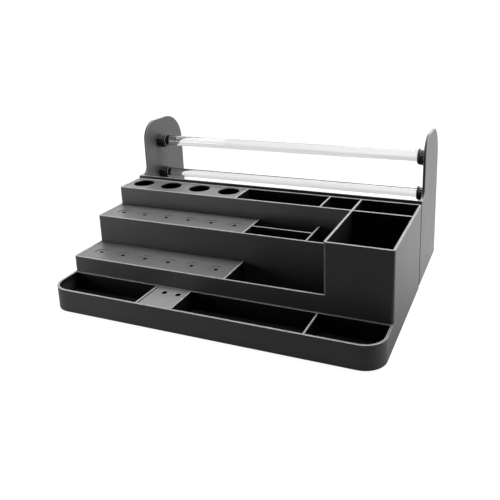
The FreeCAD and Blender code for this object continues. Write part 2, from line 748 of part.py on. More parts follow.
def make_foot(name, x, y, top):
    body = new_body(name)
    sketch = new_sketch(body, "foot_plan", offset=-S["foot_proud"])
    draw_square(sketch, x, y, S["foot_width"])
    pad(body, "foot", sketch, top + S["foot_proud"])


def make_feet():
    names = ("front_left", "front_right", "middle_left", "middle_right")
    for name, (x, y) in zip(names, FOOT_PLACES):
        make_foot(f"{name}_foot", x, y, S["foot_seat"])
    for name, (x, y) in zip(("rear_left", "rear_right"), FRAME_FOOT_PLACES):
        make_foot(f"{name}_foot", x, y, S["frame_lift"])


def make_cylinder(name, radius, height):
    cylinder = doc.addObject("Part::Cylinder", name)
    cylinder.setExpression("Radius", radius.text)
    cylinder.setExpression("Height", height.text)
    return cylinder


def make_frame_screws():
    """Four screws, driven backwards from inside the bins: a flat round head and a plain shank."""
    screws = []
    for index, (x, z) in enumerate(SCREW_PLACES, start=1):
        shank = make_cylinder(f"shank_{index}", S["screw_radius"], S["screw_length"])
        head = make_cylinder(f"head_{index}", S["head_radius"], S["head_height"])
        head.Placement = FreeCAD.Placement(Vector(), Rotation(Vector(1, 0, 0), 180))
        screw = doc.addObject("Part::Fuse", f"screw_{index}")
        screw.Base = head
        screw.Tool = shank
        screw.Placement = FreeCAD.Placement(Vector(), Rotation(Vector(1, 0, 0), -90))
        settle(screw, x, row_inside, z)
        screws.append(screw)
    group = doc.addObject("Part::Compound", "frame_screws")
    group.Links = screws
    group.Label = "frame_screws"
    return group


def make_all():
    make_main_body()
    make_rack_plate("lower_rack_plate")
    make_rack_plate("upper_rack_plate")
    make_holed_plate("rear_rack_plate", rear_holes(), S["rear_hole_radius"])
    make_holed_plate("tray_plate", tray_holes(), S["tray_hole_radius"])
    make_rear_frame()
    for rod in RODS:
        make_rod(rod)
        for side in SIDES:
            make_cup(rod, side)
            make_bush(rod, side)
    make_feet()
    make_frame_screws()
    doc.recompute()


def sub_parts():
    kinds = ("PartDesign::Body", "Part::Compound")
    return [item for item in doc.Objects if item.TypeId in kinds]


def check_and_write():
    for item in doc.Objects:
        if "Invalid" in item.State or "Error" in item.State:
            raise RuntimeError(f"{item.Name} failed: {item.State}")
    for item in sub_parts():
        if item.Shape.isNull() or not item.Shape.isValid():
            raise RuntimeError(f"{item.Label} has no valid shape")
    os.makedirs("parts", exist_ok=True)
    for item in sub_parts():
        item.Shape.exportStep(f"parts/{item.Label}.step")
        print(f"{item.Label}: {item.Shape.Volume:.0f} cubic mm")


make_all()
check_and_write()
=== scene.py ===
# %% [markdown]
# # A bench organizer, dressed for its picture
# The organizer is a stepped plastic moulding for a work bench. It has a low tray in front, three
# racks with round holes, rows of open bins, and a frame behind that carries two clear rods.
# Its sizes are fixed before this lesson starts. What is left to do is what a maker does last:
# soften the edges as a mould does, give each material its surface, and light the whole.
#
# The fixed parts are loaded first. Each comes in at its real place, in metres, with X to the
# right, Y to the back and Z up, so nothing has to be fitted by eye.

# %% Load the fixed parts
import json
from math import pi, radians

import bmesh
import bpy
from mathutils import Matrix, Vector

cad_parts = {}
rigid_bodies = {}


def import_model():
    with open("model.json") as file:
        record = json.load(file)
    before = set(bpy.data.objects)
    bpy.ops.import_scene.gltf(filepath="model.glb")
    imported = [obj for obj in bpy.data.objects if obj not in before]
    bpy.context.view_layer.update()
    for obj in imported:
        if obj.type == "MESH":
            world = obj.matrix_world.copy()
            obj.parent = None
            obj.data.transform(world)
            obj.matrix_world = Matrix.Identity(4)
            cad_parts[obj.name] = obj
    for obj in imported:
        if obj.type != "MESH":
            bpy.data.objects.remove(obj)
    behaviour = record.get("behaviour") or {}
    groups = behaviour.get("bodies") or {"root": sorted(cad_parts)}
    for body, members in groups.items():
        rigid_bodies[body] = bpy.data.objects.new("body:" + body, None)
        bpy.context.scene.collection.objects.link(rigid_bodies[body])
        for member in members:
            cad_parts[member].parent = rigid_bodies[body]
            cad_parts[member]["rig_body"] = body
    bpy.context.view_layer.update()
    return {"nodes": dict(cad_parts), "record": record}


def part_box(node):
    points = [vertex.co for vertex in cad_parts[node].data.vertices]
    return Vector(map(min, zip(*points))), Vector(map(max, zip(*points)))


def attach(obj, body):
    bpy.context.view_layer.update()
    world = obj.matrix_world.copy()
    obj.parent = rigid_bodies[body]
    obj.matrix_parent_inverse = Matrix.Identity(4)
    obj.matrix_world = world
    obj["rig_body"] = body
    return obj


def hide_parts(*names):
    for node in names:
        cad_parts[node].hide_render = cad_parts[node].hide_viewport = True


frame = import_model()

MM = 0.001

# %% [markdown]
# ## The camera
# A picture matches a photograph only if the camera stands where the photographer stood. The
# long parallel edges of the steps give that place: they were matched one by one, and the
# numbers below are what came out. The middle of the lens isn't the middle of the picture,
# because the photograph was cropped, and a small shift of the lens does the same.

# %% Set the camera where the photographer stood
PICTURE_SIDE = 500
LENS_IN_PIXELS = 620.16
LENS_MIDDLE = (270, 170)
CAMERA_PLACE = Vector((0.28238, -0.60451, 0.3124))
CAMERA_TURN = radians(23.446)
CAMERA_TILT = radians(-15.19)
CAMERA_ROLL = radians(-1.867)

bpy.ops.object.camera_add()
camera = bpy.context.active_object
camera.name = "camera"
camera.matrix_world = (
    Matrix.Translation(CAMERA_PLACE)
    @ Matrix.Rotation(CAMERA_TURN, 4, "Z")
    @ Matrix.Rotation(pi / 2 + CAMERA_TILT, 4, "X")
    @ Matrix.Rotation(CAMERA_ROLL, 4, "Z")
)
camera.data.lens = camera.data.sensor_width * LENS_IN_PIXELS / PICTURE_SIDE
camera.data.shift_x = 0.5 - LENS_MIDDLE[0] / PICTURE_SIDE
camera.data.shift_y = LENS_MIDDLE[1] / PICTURE_SIDE - 0.5
bpy.context.scene.camera = camera
bpy.context.scene.view_settings.view_transform = "Standard"
print("lens:", round(camera.data.lens, 1), "mm, shift", camera.data.shift_x, camera.data.shift_y)

# %% [markdown]
# ## The room and the floor
# Dark plastic has hardly any colour of its own. What the eye reads on it is the room that it
# mirrors, softly, most of all where it is seen at a low angle. So the room is the main light
# here. It is dark in front and grows bright towards the back. The flat tops mirror the bright
# half, and the upright fronts mirror the dark one. The floor is graded in the same way, because
# the organizer's right side mirrors the part of it that lies behind.
#
# The photograph has a pure white ground. The camera, and the light that goes through the clear
# rods, therefore see a white room and a nearly white floor, which keeps a faint shadow.

# %% A strength that is graded for lighting only
def seen_directly(tree):
    """A value that is 1 for what the camera sees, also through glass, and 0 for lighting."""
    path = tree.nodes.new("ShaderNodeLightPath")
    either = tree.nodes.new("ShaderNodeMath")
    either.operation = "MAXIMUM"
    tree.links.new(path.outputs["Is Camera Ray"], either.inputs[0])
    tree.links.new(path.outputs["Is Transmission Ray"], either.inputs[1])
    return either.outputs["Value"]


def front_to_back(tree, coordinates, edges, front, back, seen):
    """A strength that grows from front to back for lighting, and is even where seen directly."""
    place = tree.nodes.new("ShaderNodeTexCoord")
    parts = tree.nodes.new("ShaderNodeSeparateXYZ")
    tree.links.new(place.outputs[coordinates], parts.inputs["Vector"])
    shade = tree.nodes.new("ShaderNodeMapRange")
    shade.interpolation_type = "SMOOTHSTEP"
    shade.inputs["From Min"].default_value, shade.inputs["From Max"].default_value = edges
    shade.inputs["To Min"].default_value, shade.inputs["To Max"].default_value = front, back
    tree.links.new(parts.outputs["Y"], shade.inputs["Value"])
    # A Mix node has its two numbers at sockets 2 and 3.
    strength = tree.nodes.new("ShaderNodeMix")
    tree.links.new(seen_directly(tree), strength.inputs["Factor"])
    tree.links.new(shade.outputs["Result"], strength.inputs[2])
    strength.inputs[3].default_value = seen
    return strength.outputs[0]


# %% Make the room
ROOM_FRONT = 0.01
ROOM_BACK = 1.75
ROOM_EDGES = (-0.1, 0.8)
ROOM_SEEN = 1.0
WHITE = (1.0, 1.0, 1.0, 1.0)


def make_room():
    world = bpy.data.worlds.new("studio_room")
    world.use_nodes = True
    bpy.context.scene.world = world
    tree = world.node_tree
    background = tree.nodes["Background"]
    background.inputs["Color"].default_value = WHITE
    strength = front_to_back(tree, "Generated", ROOM_EDGES, ROOM_FRONT, ROOM_BACK, ROOM_SEEN)
    tree.links.new(strength, background.inputs["Strength"])


make_room()
print("room from", ROOM_FRONT, "in front to", ROOM_BACK, "at the back")

# %% Lay the floor
FLOOR_SIDE = 40.0
FLOOR_PALE = (0.4, 0.4, 0.4, 1.0)
FLOOR_ROUGHNESS = 0.9
FLOOR_FRONT = 0.01
FLOOR_BACK = 1.3
FLOOR_EDGES = (-0.25, 0.2)
FLOOR_GLOW = 1.21
FLOOR_GLOW_SHARE = 0.78


def make_floor():
    """A pale sheet that also glows, so that it comes out nearly white under the lamps."""
    bpy.ops.mesh.primitive_plane_add(size=FLOOR_SIDE)
    floor = bpy.context.active_object
    floor.name = "floor"
    material = bpy.data.materials.new("pale_floor")
    material.use_nodes = True
    tree = material.node_tree
    paper = tree.nodes["Principled BSDF"]
    paper.inputs["Base Color"].default_value = FLOOR_PALE
    paper.inputs["Roughness"].default_value = FLOOR_ROUGHNESS
    glow = tree.nodes.new("ShaderNodeEmission")
    strength = front_to_back(tree, "Object", FLOOR_EDGES, FLOOR_FRONT, FLOOR_BACK, FLOOR_GLOW)
    tree.links.new(strength, glow.inputs["Strength"])
    mix = tree.nodes.new("ShaderNodeMixShader")
    mix.inputs["Fac"].default_value = FLOOR_GLOW_SHARE
    tree.links.new(paper.outputs["BSDF"], mix.inputs[1])
    tree.links.new(glow.outputs["Emission"], mix.inputs[2])
    tree.links.new(mix.outputs["Shader"], tree.nodes["Material Output"].inputs["Surface"])
    floor.data.materials.append(material)


make_floor()
print("floor glows from", FLOOR_FRONT, "in front to", FLOOR_BACK, "at the back")

# %% [markdown]
# ## The lamps
# Three soft lamps add what the room can't. A broad one hangs above and a little behind, and
# draws the pale lines on the rims. It is kept out of reflections, because the flat tops would
# mirror it as a bright spot. One at the right lights the right side, and a small one low on the
# left lifts the left end of the fronts.

# %% Hang the lamps
LAMPS = {
    "top_lamp": {"place": (0.1, 0.28, 1.7), "side": 1.1, "power": 76.0, "mirrored": False},
    "right_lamp": {"place": (1.6, 0.5, 0.8), "side": 0.9, "power": 11.0, "mirrored": True},
    "left_lamp": {"place": (-0.5, -0.42, 0.05), "side": 0.3, "power": 1.7, "mirrored": True},
}


def add_lamp(name, place, side, power, mirrored):
    """A square lamp with its side in metres and its power in watts, turned to the object."""
    bpy.ops.object.light_add(type="AREA", location=place)
    lamp = bpy.context.active_object
    lamp.name = name
    lamp.data.size = side
    lamp.data.energy = power
    lamp.visible_camera = False
    lamp.visible_glossy = mirrored
    lamp.rotation_euler = (-Vector(place)).to_track_quat("-Z", "Y").to_euler()


for name, values in LAMPS.items():
    add_lamp(name, **values)
print("lamps:", ", ".join(LAMPS))

# %% [markdown]
# ## Working on one piece at a time
# Operators act on everything that is selected, as they do for a person at the screen, and the
# loaded parts all start out selected. So each step below first clears the selection. A fixed
# part itself is never touched. A copy of it is cleaned instead: its loose triangles are joined
# and the flat ones merged, which leaves the edges that a maker would see and can soften.

# %% Select one piece, and copy a fixed part
JOIN_DISTANCE = 0.001 * MM
FLAT_ANGLE = radians(1)


def only(piece):
    """Select one piece and nothing else."""
    bpy.ops.object.select_all(action="DESELECT")
    piece.select_set(True)
    bpy.context.view_layer.objects.active = piece


def copy_of(node, name):
    """A clean copy of a fixed part, to be worked on under its own name."""
    only(frame["nodes"][node])
    bpy.ops.object.duplicate()
    piece = bpy.context.active_object
    piece.name = name
    # The copy is no fixed part, so the marks of one come off it.
    for key in list(piece.keys()):
        del piece[key]
    piece.data.materials.clear()
    only(piece)
    bpy.ops.object.mode_set(mode="EDIT")
    bpy.ops.mesh.select_all(action="SELECT")
    bpy.ops.mesh.remove_doubles(threshold=JOIN_DISTANCE)
    bpy.ops.mesh.dissolve_limited(angle_limit=FLAT_ANGLE)
    bpy.ops.object.mode_set(mode="OBJECT")
    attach(piece, frame["nodes"][node]["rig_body"])
    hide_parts(node)
    return piece


# %% [markdown]
# ## Softened edges
# No moulded edge is sharp. The outer ones carry a radius of a few tenths of a millimetre, which
# catches the light as a thin pale line. They are found by the angle between their two faces,
# whose sign says which way the edge turns. Where a rounded wall meets a rack's recess, the body
# has steps of half a millimetre with no room for a radius, and these are spared.
#
# The new faces get a mark, and the materials paint them paler: partly as wear, because rims are
# what hands rub most, and partly as a painted highlight.

# %% Choose the edges, and mark the faces that their radius makes
SHARP_ANGLE = radians(35)
TINY_STEP = 0.7 * MM
BROAD_FACE = 20.0 * MM**2
WIDEST_BEVEL = 0.4 * MM
SQUARE = 0.999


def is_tiny_step(edge):
    """True for a very short edge between two broad faces that are square to the axes."""
    faces = edge.link_faces
    square = all(max(abs(part) for part in face.normal) > SQUARE for face in faces)
    broad = all(face.calc_area() > BROAD_FACE for face in faces)
    return square and broad and edge.calc_length() < TINY_STEP


def select_edges(piece, spare_steps):
    """Select the sharp outer edges of a piece in edit mode."""
    mesh = bmesh.from_edit_mesh(piece.data)
    for face in mesh.faces:
        face.select = False
    for edge in mesh.edges:
        sharp = edge.calc_face_angle_signed(0) > SHARP_ANGLE
        edge.select = sharp and not (spare_steps and is_tiny_step(edge))
    bmesh.update_edit_mesh(piece.data)


def mark_wear_and_highlight(piece):
    """Mark the faces that the last bevel made, for paler wear and painted highlight, but no wider
    ones that it left selected.
    """
    mesh = bmesh.from_edit_mesh(piece.data)
    wear_and_highlight = mesh.faces.layers.float.get("wear_and_highlight") or mesh.faces.layers.float.new("wear_and_highlight")
    for face in mesh.faces:
        # Bevel faces are marked to be painted paler: wear and painted highlight.
        if face.select and face.calc_area() < WIDEST_BEVEL * face.calc_perimeter():
            face[wear_and_highlight] = 1
    bmesh.update_edit_mesh(piece.data)


# %% Soften a piece
SMOOTH_ANGLE = radians(40)


def folded_area(piece):
    """How many square millimetres are turned over, which a radius too large would cause."""
    piece.data.calc_loop_triangles()
    faces = piece.data.polygons
    folded = [
        part.area
        for part in piece.data.loop_triangles
        if part.normal.dot(faces[part.polygon_index].normal) < 0
    ]
    return sum(folded) / MM**2


def soften(piece, radius, segments=2, spare_steps=False):
    """Round the outer edges of a piece, and shade it by its faces."""
    only(piece)
    bpy.ops.object.mode_set(mode="EDIT")
    bpy.ops.mesh.select_mode(type="EDGE")
    select_edges(piece, spare_steps)
    bpy.ops.mesh.bevel(offset=radius, segments=segments, clamp_overlap=False, loop_slide=False)
    mark_wear_and_highlight(piece)
    bpy.ops.object.mode_set(mode="OBJECT")
    bpy.ops.object.shade_smooth_by_angle(angle=SMOOTH_ANGLE)
    even = piece.modifiers.new("even shading", "WEIGHTED_NORMAL")
    even.keep_sharp = True
    bpy.ops.object.modifier_apply(modifier=even.name)
    print(f"{piece.name}: {len(piece.data.polygons)} faces, {folded_area(piece):.2f} mm2 folded")
    return piece


# %% [markdown]
# ## Insides, rims and the seam
# Hands and dust dull a rim or a flat top, and the rims are painted paler for that wear and as a
# painted highlight. The floors and walls of the bins are painted nearly black instead, a painted
# shade for the shadow deep in them. The record says where each bin's room is. A face that lies in
# or beside that room and looks towards its middle is an inside face, and gets the painted shade
# as a mark of its own.
#
# The flat top of a thin wall is painted paler over its whole width, only less than its edges are:
# wear, and a painted highlight. Such a face is told from a broad top by its area, which is small
# for the length of its outline. The seam between body and frame gets no pale edge and the painted
# shade of the insides, so it reads as a dark line.

# %% Mark the insides for the painted shade
WALL_REACH = 12 * MM
ROOMS = [
    (Vector(low), Vector(high))
    for low, high in (opening["box_m"] for opening in frame["record"]["physics"]["openings"])
]


def is_inside(face, low, high):
    """True for a wall or floor that looks into the room between two corners."""
    place = face.center
    beside = all(
        low[axis] - WALL_REACH < place[axis] < high[axis] + WALL_REACH for axis in range(3)
    )
    middle = (low + high) / 2
    return beside and place.z < high.z and (middle - place).dot(face.normal) > 0


def mark_insides(piece):
    """Give every face that looks into one of the rooms the painted shade."""
    inside = piece.data.attributes.new("inside", "FLOAT", "FACE")
    for face in piece.data.polygons:
        # A face that looks into a room is marked for the painted shade.
        if any(is_inside(face, low, high) for low, high in ROOMS):
            inside.data[face.index].value = 1
    print(piece.name, "inside faces:", sum(item.value > 0 for item in inside.data))


# %% Mark the rims and the seam
RIM_HALF_WIDTH = 1.3 * MM
LEVEL = 0.99
SEAM_PLACE = (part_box("main_body")[1].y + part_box("rear_frame")[0].y) / 2
SEAM_REACH = 0.7 * MM


def is_narrow(piece, face):
    """True for a flat face as narrow as the top of a wall, whatever its outline."""
    edges = [piece.data.edges[piece.data.loops[loop].edge_index] for loop in face.loop_indices]
    places = [[piece.data.vertices[corner].co for corner in edge.vertices] for edge in edges]
    return face.area < RIM_HALF_WIDTH * sum((first - second).length for first, second in places)


def mark_rims(piece, wear_and_highlight):
    """Mark the flat tops of a piece's walls to be painted paler too, as wear and painted
    highlight, but less than their edges.
    """
    marks, inside = piece.data.attributes["wear_and_highlight"], piece.data.attributes["inside"]
    for face in piece.data.polygons:
        if face.normal.z > LEVEL and not inside.data[face.index].value and is_narrow(piece, face):
            marks.data[face.index].value = max(marks.data[face.index].value, wear_and_highlight)


def mark_seam(piece):
    """Take the pale edge off the seam between body and frame, and give it the painted shade of an
    inside.
    """
    wear_and_highlight, inside = piece.data.attributes["wear_and_highlight"], piece.data.attributes["inside"]
    for face in piece.data.polygons:
        if abs(face.center.y - SEAM_PLACE) < SEAM_REACH:
            wear_and_highlight.data[face.index].value = 0
            # The seam gets the painted shade of the insides.
            inside.data[face.index].value = 1


# %% [markdown]
# ## Effects that several materials share
# Moulded plastic, rubber and plated steel all have a fine grain and a slight unevenness, so
# these are made once, as groups of nodes with their own inputs. A group gives out only values
# that change over the surface. The shader itself stays in each material, where its plain
# numbers can be set and read.

# %% Helpers for groups of nodes
def new_group(name, inputs, outputs):
    """An empty group of nodes with number inputs, given with their values, and outputs."""
    group = bpy.data.node_groups.new(name, "ShaderNodeTree")
    for label, value in inputs.items():
        socket = group.interface.new_socket(label, in_out="INPUT", socket_type="NodeSocketFloat")
        socket.default_value = value
    for label in outputs:
        group.interface.new_socket(label, in_out="OUTPUT", socket_type="NodeSocketFloat")
    return group, group.nodes.new("NodeGroupInput"), group.nodes.new("NodeGroupOutput")


def feed(tree, value, socket):
    """Give a socket a plain number or colour, or else another node's output."""
    if isinstance(value, tuple):
        socket.default_value = (*value, 1.0)
    elif isinstance(value, float):
        socket.default_value = value
    else:
        tree.links.new(value, socket)


def add_math(tree, operation, *values):
    """Arithmetic on two or three values, each a number or another node's output."""
    node = tree.nodes.new("ShaderNodeMath")
    node.operation = operation
    for socket, value in zip(node.inputs, values):
        feed(tree, value, socket)
    return node.outputs["Value"]


def add_noise(tree, scale, detail, roughness=0.5):
    """Noise over the object's own coordinates; its scale is a number or another output."""
    place = tree.nodes.new("ShaderNodeTexCoord")
    noise = tree.nodes.new("ShaderNodeTexNoise")
    noise.inputs["Detail"].default_value = detail
    noise.inputs["Roughness"].default_value = roughness
    tree.links.new(place.outputs["Object"], noise.inputs["Vector"])
    feed(tree, scale, noise.inputs["Scale"])
    return noise.outputs["Fac"]


# %% The grain group
def make_grain():
    """Fine pits in a moulded skin, and the faint specks of colour that go with them."""
    group, entry, leave = new_group("grain", {"Grains per metre": 1500.0}, ["Height", "Speck"])
    fine = add_noise(group, entry.outputs["Grains per metre"], detail=3.0, roughness=0.6)
    place = group.nodes.new("ShaderNodeTexCoord")
    pits = group.nodes.new("ShaderNodeTexVoronoi")
    group.links.new(place.outputs["Object"], pits.inputs["Vector"])
    group.links.new(entry.outputs["Grains per metre"], pits.inputs["Scale"])
    height = add_math(group, "ADD", fine, pits.outputs["Distance"])
    group.links.new(height, leave.inputs["Height"])
    group.links.new(fine, leave.inputs["Speck"])
    return group


# %% The unevenness group
def make_unevenness():
    """Broad, faint clouds: flow marks from the mould, dust, and what hands leave behind."""
    group, entry, leave = new_group("unevenness", {"Clouds per metre": 22.0}, ["Cloud"])
    broad = add_noise(group, entry.outputs["Clouds per metre"], detail=4.0, roughness=0.55)
    group.links.new(broad, leave.inputs["Cloud"])
    return group


# %% The rim wear and painted highlight group
PATCHES_PER_METRE = 160.0
PATCH_CONTRAST = 0.8
LEAST_PATCH = 0.3


def make_rim_wear_and_highlight():
    """Where rims are painted paler, as wear and painted highlight: the marked edge faces, broken
    up by noise.
    """
    group, entry, leave = new_group("rim wear", {"Amount": 0.6}, ["Mask"])
    # Marked edges are painted paler: wear, and a painted highlight.
    marked = group.nodes.new("ShaderNodeAttribute")
    marked.attribute_name = "wear_and_highlight"
    noise = add_noise(group, PATCHES_PER_METRE, detail=4.0)
    patches = add_math(group, "MULTIPLY_ADD", noise, PATCH_CONTRAST, LEAST_PATCH)
    wear_and_highlight_mask = add_math(group, "MULTIPLY", marked.outputs["Fac"], patches)
    mask = add_math(group, "MULTIPLY", wear_and_highlight_mask, entry.outputs["Amount"])
    group.links.new(mask, leave.inputs["Mask"])
    return group


GRAIN = make_grain()
UNEVENNESS = make_unevenness()
RIM_WEAR_AND_HIGHLIGHT = make_rim_wear_and_highlight()
print("groups:", GRAIN.name, UNEVENNESS.name, RIM_WEAR_AND_HIGHLIGHT.name)

# %% [markdown]
# ## Charcoal plastic
# The body, the frame and the plates are the same kind of plastic: a matt charcoal with a fine
# grain. Its own colour is so dark that the shine matters as much. The roughness decides how
# softly the bright half of the room lies on the flat tops.
#
# One function makes three versions, and its arguments are the difference. The racks come from
# another mould than the body, are a touch more matt, and their edges are painted less pale, with
# less wear and painted highlight. The small plate in the tray is given clearly paler shades. In
# all of them an inside face is painted nearly black, a painted shade.

# %% Helpers for materials
def new_material(name):
    """A new material with its nodes and its shader."""
    material = bpy.data.materials.new(name)
    material.use_nodes = True
    return material, material.node_tree, material.node_tree.nodes["Principled BSDF"]


def use_group(tree, group, **values):
    """Place a shared group in a material, with the material's own values."""
    node = tree.nodes.new("ShaderNodeGroup")
    node.node_tree = group
    for label, value in values.items():
        node.inputs[label.replace("_", " ").capitalize()].default_value = value
    return node


def add_mix(tree, share, first, second):
    """One colour going over to another; each is a colour, or another node's output."""
    # A Mix node has its two colours at sockets 6 and 7, and gives the mixed one at socket 2.
    mix = tree.nodes.new("ShaderNodeMix")
    mix.data_type = "RGBA"
    tree.links.new(share, mix.inputs["Factor"])
    feed(tree, first, mix.inputs[6])
    feed(tree, second, mix.inputs[7])
    return mix.outputs[2]


def add_range(tree, value, low=0.0, high=1.0, from_low=0.3, from_high=0.7):
    """Spread the middle of a noise over a range of its own."""
    spread = tree.nodes.new("ShaderNodeMapRange")
    spread.inputs["From Min"].default_value = from_low
    spread.inputs["From Max"].default_value = from_high
    spread.inputs["To Min"].default_value = low
    spread.inputs["To Max"].default_value = high
    tree.links.new(value, spread.inputs["Value"])
    return spread.outputs["Result"]


def add_bump(tree, shader, height, depth, strength):
    """Let a height change the light on a shader; depth is in metres."""
    bump = tree.nodes.new("ShaderNodeBump")
    bump.inputs["Distance"].default_value = depth
    bump.inputs["Strength"].default_value = strength
    tree.links.new(height, bump.inputs["Height"])
    tree.links.new(bump.outputs["Normal"], shader.inputs["Normal"])


# %% A charcoal plastic
# Painted shade: the near-black colour that inside faces get for the shadow deep in the bins and
# holes.
PAINTED_SHADE_BLACK = (0.006, 0.006, 0.0063)
PLASTIC_SHINE = 0.45
PLASTIC_CLOUDS = 22.0
SPECK_SHARE = 0.4
MATT_SPREAD = 0.02


def make_plastic(name, dark, pale, rim, matt, grains, wear_and_highlight):
    """A moulded plastic: dark and pale are its two shades, rim the paler colour of an edge, for
    wear and painted highlight.
    """
    material, tree, shader = new_material(name)
    grain = use_group(tree, GRAIN, grains_per_metre=grains)
    cloud = use_group(tree, UNEVENNESS, clouds_per_metre=PLASTIC_CLOUDS).outputs["Cloud"]
    wear_and_highlight_mask = use_group(tree, RIM_WEAR_AND_HIGHLIGHT, amount=wear_and_highlight).outputs["Mask"]
    specks = add_range(tree, grain.outputs["Speck"])
    clouds = add_math(tree, "MULTIPLY", add_range(tree, cloud), 1.0 - SPECK_SHARE)
    shades = add_math(tree, "MULTIPLY_ADD", specks, SPECK_SHARE, clouds)
    # Faces marked for painted shade are mixed over to the near-black painted shade.
    inside = tree.nodes.new("ShaderNodeAttribute")
    inside.attribute_name = "inside"
    skin = add_mix(tree, inside.outputs["Fac"], add_mix(tree, shades, dark, pale), PAINTED_SHADE_BLACK)
    # Marked edges are mixed over to the rim colour: wear and painted highlight.
    tree.links.new(add_mix(tree, wear_and_highlight_mask, skin, rim), shader.inputs["Base Color"])
    roughness = add_range(tree, cloud, matt - MATT_SPREAD, matt + MATT_SPREAD)
    tree.links.new(roughness, shader.inputs["Roughness"])
    shader.inputs["Specular IOR Level"].default_value = PLASTIC_SHINE
    add_bump(tree, shader, grain.outputs["Height"], depth=0.05 * MM, strength=0.35)
    return material


# %% Make the three versions
# Each rim colour below is a paler edge colour: wear and painted highlight.
body_plastic = make_plastic(
    "charcoal_body",
    dark=(0.045, 0.0455, 0.047),
    pale=(0.060, 0.0606, 0.062),
    rim=(0.34, 0.34, 0.345),
    matt=0.40,
    grains=1400.0,
    wear_and_highlight=0.8,
)
plate_plastic = make_plastic(
    "charcoal_plate",
    dark=(0.050, 0.0505, 0.052),
    pale=(0.066, 0.0666, 0.068),
    rim=(0.20, 0.20, 0.205),
    matt=0.42,
    grains=1700.0,
    wear_and_highlight=0.35,
)
tray_plate_plastic = make_plastic(
    "charcoal_tray_plate",
    dark=(0.095, 0.0955, 0.097),
    pale=(0.120, 0.1206, 0.122),
    rim=(0.28, 0.28, 0.285),
    matt=0.42,
    grains=1700.0,
    wear_and_highlight=0.6,
)
print("plastics:", body_plastic.name, plate_plastic.name, tray_plate_plastic.name)

# %% [markdown]
# ## The stepped body, the frame and the plates
# One moulding holds the tray, both steps, the rear row and the tall bay. Its rims are what the
# picture shows most: thin pale lines where the light meets the softened edges. The frame is
# finished in the same way.
#
# The plates are thinner and get a smaller radius. The walls of their round holes get the painted
# shade of the insides and no pale edge. They are found as narrow faces below the top that aren't
# level, because the level ones are the floors of the shallow dishes.

# %% Finish the body, the frame and the plates
BODY_RADIUS = 0.45 * MM
PLATE_RADIUS = 0.3 * MM
# Rim tops are painted paler too: wear and painted highlight.
RIM_TOP_WEAR_AND_HIGHLIGHT = 0.5
HOLE_START = 0.4 * MM
MOULDINGS = [
    ("main_body", "stepped_body", BODY_RADIUS, body_plastic, "body_plastic"),
    ("rear_frame", "rod_frame", BODY_RADIUS, body_plastic, "body_plastic"),
    ("lower_rack_plate", "lower_rack", PLATE_RADIUS, plate_plastic, "plate_plastic"),
    ("upper_rack_plate", "upper_rack", PLATE_RADIUS, plate_plastic, "plate_plastic"),
    ("rear_rack_plate", "four_hole_rack", PLATE_RADIUS, plate_plastic, "plate_plastic"),
    ("tray_plate", "two_hole_plate", PLATE_RADIUS, tray_plate_plastic, "plate_plastic"),
]


def mark_holes(piece, top):
    """Give the walls of a plate's holes the painted shade of insides: narrow faces below its top,
    and not level.
    """
    wear_and_highlight, inside = piece.data.attributes["wear_and_highlight"], piece.data.attributes["inside"]
    # Hole walls get the painted shade and no pale edge.
    for face in piece.data.polygons:
        below = face.center.z < top - HOLE_START and face.normal.z < LEVEL
        if below and is_narrow(piece, face):
            wear_and_highlight.data[face.index].value = 0
            inside.data[face.index].value = 1


def finish_piece(piece, material):
    """Give a piece its material."""
    piece.data.materials.append(material)


for node, name, radius, material, slot in MOULDINGS:
    piece = soften(copy_of(node, name), radius, spare_steps=node == "main_body")
    mark_insides(piece)
    if material is body_plastic:
        mark_rims(piece, RIM_TOP_WEAR_AND_HIGHLIGHT)
        mark_seam(piece)
    else:
        mark_holes(piece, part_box(node)[1].z)
    finish_piece(piece, material)

# %% [markdown]
# ## Black collars
# Each rod ends in a closed bush that drops into an open cup on the arm. Both are small turned
# and moulded parts in a smoother, deeper black than the body, so they carry a clearer shine.
# They have no insides to mark, so a simpler material than the body's will do, and the rubber
# feet further down can use the same one with other values.

# %% A plain moulded skin
def make_skin(name, dark, pale, rim, matt, grains, clouds, wear_and_highlight, depth, strength):
    """A skin of two shades with paler edges for wear and painted highlight; matt is the range of
    its roughness.
    """
    material, tree, shader = new_material(name)
    grain = use_group(tree, GRAIN, grains_per_metre=grains)
    cloud = use_group(tree, UNEVENNESS, clouds_per_metre=clouds).outputs["Cloud"]
    wear_and_highlight_mask = use_group(tree, RIM_WEAR_AND_HIGHLIGHT, amount=wear_and_highlight).outputs["Mask"]
    skin = add_mix(tree, add_range(tree, cloud), dark, pale)
    # Marked edges are mixed over to the rim colour: wear and painted highlight.
    tree.links.new(add_mix(tree, wear_and_highlight_mask, skin, rim), shader.inputs["Base Color"])
    tree.links.new(add_range(tree, cloud, *matt), shader.inputs["Roughness"])
    add_bump(tree, shader, grain.outputs["Height"], depth, strength)
    return material


# %% Finish the cups and bushes
RODS = ("upper", "lower")
SIDES = ("left", "right")
COLLAR_RADIUS = 0.35 * MM

collar_black = make_skin(
    "collar_black",
    dark=(0.030, 0.030, 0.031),
    pale=(0.044, 0.044, 0.046),
    rim=(0.08, 0.08, 0.085),
    matt=(0.26, 0.38),
    grains=2600.0,
    clouds=90.0,
    wear_and_highlight=0.5,
    depth=0.02 * MM,
    strength=0.25,
)
for rod in RODS:
    for side in SIDES:
        for kind in ("cup", "bush"):
            node = f"{rod}_{side}_{kind}"
            collar = soften(copy_of(node, f"{node}_collar"), COLLAR_RADIUS)
            finish_piece(collar, collar_black)

# %% [markdown]
# ## Clear rods
# The rods are solid acrylic. A clear solid needs a full closed shape, so that light bends going
# in and coming out. A sharp end would look like cut glass, so the ends get a small polished
# round. Such rods are drawn through a die, which leaves faint lines along them. Noise that is
# stretched along the rod gives these lines, and they show as pale grey streaks.

